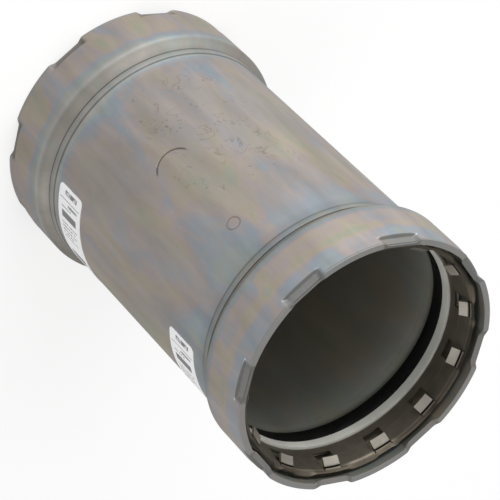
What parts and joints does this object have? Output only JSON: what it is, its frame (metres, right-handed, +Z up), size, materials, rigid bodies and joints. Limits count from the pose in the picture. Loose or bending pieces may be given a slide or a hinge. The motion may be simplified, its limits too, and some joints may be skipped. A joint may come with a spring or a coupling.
{
  "type": "press slip coupling",
  "caption": "Steel slip coupling that joins two plain pipe ends: a tube with a press socket at each end, holding seal, separator and toothed grip rings.",
  "frame": {"origin": "centre of the bottom rim, on the surface that the coupling stands on", "axes": "+Z up along the pipe axis, from the bottom rim to the top rim; the labels are towards +X"},
  "size_m": [0.086, 0.086, 0.1414],
  "materials": {
    "plated_body": "zinc-nickel plated carbon steel, satin with faint rainbow tints",
    "stainless_grip": "stainless strip, stamped, smooth with bright teeth",
    "separator": "satin stainless",
    "seal_rubber": "black moulded rubber, slightly lubricated",
    "label_paper": "white self-adhesive paper, plain grey print"
  },
  "bodies": {
    "root": {"body": "plated_body", "grip_ring_top": "stainless_grip", "grip_ring_bottom": "stainless_grip", "separator_ring_top": "separator", "separator_ring_bottom": "separator", "seal_top": "seal_rubber", "seal_bottom": "seal_rubber", "label_upper": "label_paper", "label_lower": "label_paper"}
  },
  "joints": []
}
